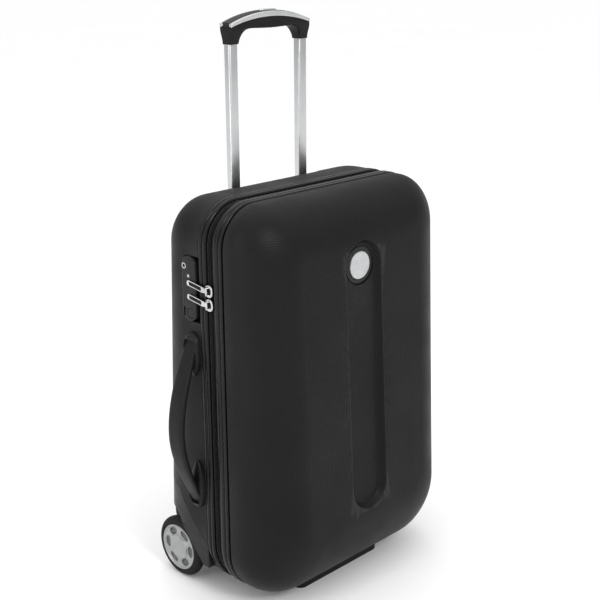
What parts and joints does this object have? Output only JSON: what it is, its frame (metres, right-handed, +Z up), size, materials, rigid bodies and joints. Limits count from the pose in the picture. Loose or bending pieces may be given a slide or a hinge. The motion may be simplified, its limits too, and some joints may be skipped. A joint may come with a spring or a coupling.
{
  "type": "rolling pilot case",
  "caption": "Hard-shell two-wheel pilot case with a zip-closed front half, a two-stage telescopic handle, a side lock with zip pulls and a soft side carry handle.",
  "frame": {"origin": "floor level under the middle of the whole object's box, carry handle and wheels included", "axes": "+Z up along the telescopic handle; -Y the front shell's face; +Y the wheels and handle tubes; -X the side with the lock and carry handle"},
  "size_m": [0.3988, 0.2528, 0.7712],
  "materials": {
    "shell_black": "fine-grained satin ABS/polycarbonate shell",
    "rim_black": "smooth semi-gloss",
    "trim_black": "smooth satin",
    "zip_tape": "woven polyester tape",
    "lining": "woven nylon lining",
    "strap": "elastic webbing",
    "soft_rubber": "soft-touch elastomer",
    "tyre": "polyurethane tyre",
    "aluminium": "satin anodised",
    "silver_plastic": "silver-painted",
    "chrome": "polished",
    "steel": "zinc-plated"
  },
  "bodies": {
    "rear_case": {"rear_shell": "shell_black", "rear_rim": "rim_black", "rear_zip_tape": "zip_tape", "rear_zip_teeth": "trim_black", "hinge_gusset": "zip_tape", "rear_lining": "lining", "packing_strap_upper": "strap", "strap_buckle_upper": "trim_black", "packing_strap_lower": "strap", "strap_buckle_lower": "trim_black", "wheel_housing_right": "trim_black", "wheel_housing_left": "trim_black", "wheel_axle_right": "steel", "wheel_axle_left": "steel", "handle_bezel": "trim_black", "guide_sleeve_left": "steel", "guide_sleeve_right": "steel", "sleeve_bracket_upper": "steel", "sleeve_bracket_lower": "steel", "lock_housing": "trim_black", "handle_mount_upper": "trim_black", "handle_mount_lower": "trim_black"},
    "front_lid": {"front_shell": "shell_black", "front_badge": "silver_plastic", "front_rim": "rim_black", "front_zip_tape": "zip_tape", "front_zip_teeth": "trim_black", "front_foot": "soft_rubber", "lid_lining": "lining"},
    "handle_stage_one": {"middle_tube_left": "aluminium", "middle_tube_right": "aluminium"},
    "handle_stage_two": {"inner_tube_left": "aluminium", "inner_tube_right": "aluminium", "stage_lock_left": "trim_black", "stage_lock_right": "trim_black", "grip_body": "soft_rubber", "grip_trim_front": "silver_plastic", "grip_trim_rear": "silver_plastic", "grip_cap": "trim_black", "button_spring": "steel"},
    "handle_release": {"grip_button": "chrome", "release_bar": "trim_black", "release_rod_left": "steel", "release_rod_right": "steel"},
    "wheel_right": {"tyre_right": "tyre", "wheel_hub_right": "silver_plastic", "wheel_bearing_right": "steel"},
    "wheel_left": {"tyre_left": "tyre", "wheel_hub_left": "silver_plastic", "wheel_bearing_left": "steel"},
    "upper_slider": {"zip_slider_upper": "chrome"},
    "upper_pull": {"zip_pull_upper": "chrome", "zip_pull_insert_upper": "trim_black"},
    "lower_slider": {"zip_slider_lower": "chrome"},
    "lower_pull": {"zip_pull_lower": "chrome", "zip_pull_insert_lower": "trim_black"},
    "key_cylinder": {"lock_key_cylinder": "chrome"},
    "lock_button": {"lock_release_button": "trim_black"},
    "side_handle": {"carry_handle": "soft_rubber"}
  },
  "joints": [
    {"name": "lid_hinge", "type": "hinge", "parent": "rear_case", "child": "front_lid", "pos_m": [0.19984, -0.01299, 0.281], "axis": [0, 0, 1], "range_deg": [0, 180]},
    {"name": "stage_one_slide", "type": "slide", "parent": "rear_case", "child": "handle_stage_one", "axis": [0, 0, 1], "range_m": [0, 0.25]},
    {"name": "stage_two_slide", "type": "slide", "parent": "handle_stage_one", "child": "handle_stage_two", "axis": [0, 0, 1], "range_m": [-0.2, 0]},
    {"name": "grip_button_press", "type": "slide", "parent": "handle_stage_two", "child": "handle_release", "axis": [0, 0, -1], "range_m": [0, 0.0035], "stiffness_N_per_m": 500, "springref_m": -0.003, "deforming": ["button_spring"]},
    {"name": "wheel_right_spin", "type": "hinge", "parent": "rear_case", "child": "wheel_right", "pos_m": [0.17884, 0.08291, 0.0435], "axis": [1, 0, 0], "continuous": true},
    {"name": "wheel_left_spin", "type": "hinge", "parent": "rear_case", "child": "wheel_left", "pos_m": [-0.14116, 0.08291, 0.0435], "axis": [1, 0, 0], "continuous": true},
    {"name": "upper_slider_run", "type": "slide", "parent": "rear_case", "child": "upper_slider", "axis": [0, 0, 1], "range_m": [0, 0.045]},
    {"name": "upper_pull_flip", "type": "hinge", "parent": "upper_slider", "child": "upper_pull", "pos_m": [-0.16516, -0.01099, 0.442], "axis": [0, 0, 1], "range_deg": [0, 170]},
    {"name": "lower_slider_run", "type": "slide", "parent": "rear_case", "child": "lower_slider", "axis": [0, 0, 1], "range_m": [-0.035, 0]},
    {"name": "lower_pull_flip", "type": "hinge", "parent": "lower_slider", "child": "lower_pull", "pos_m": [-0.16516, -0.01099, 0.424], "axis": [0, 0, 1], "range_deg": [0, 170]},
    {"name": "key_turn", "type": "hinge", "parent": "rear_case", "child": "key_cylinder", "pos_m": [-0.16116, 0.03291, 0.467], "axis": [1, 0, 0], "range_deg": [0, 90]},
    {"name": "lock_button_press", "type": "slide", "parent": "rear_case", "child": "lock_button", "axis": [1, 0, 0], "range_m": [0, 0.0025], "stiffness_N_per_m": 300, "springref_m": -0.001},
    {"name": "side_handle_lift", "type": "slide", "parent": "rear_case", "child": "side_handle", "axis": [-1, 0, 0], "range_m": [0, 0.004], "stiffness_N_per_m": 600, "springref_m": -0.001}
  ]
}
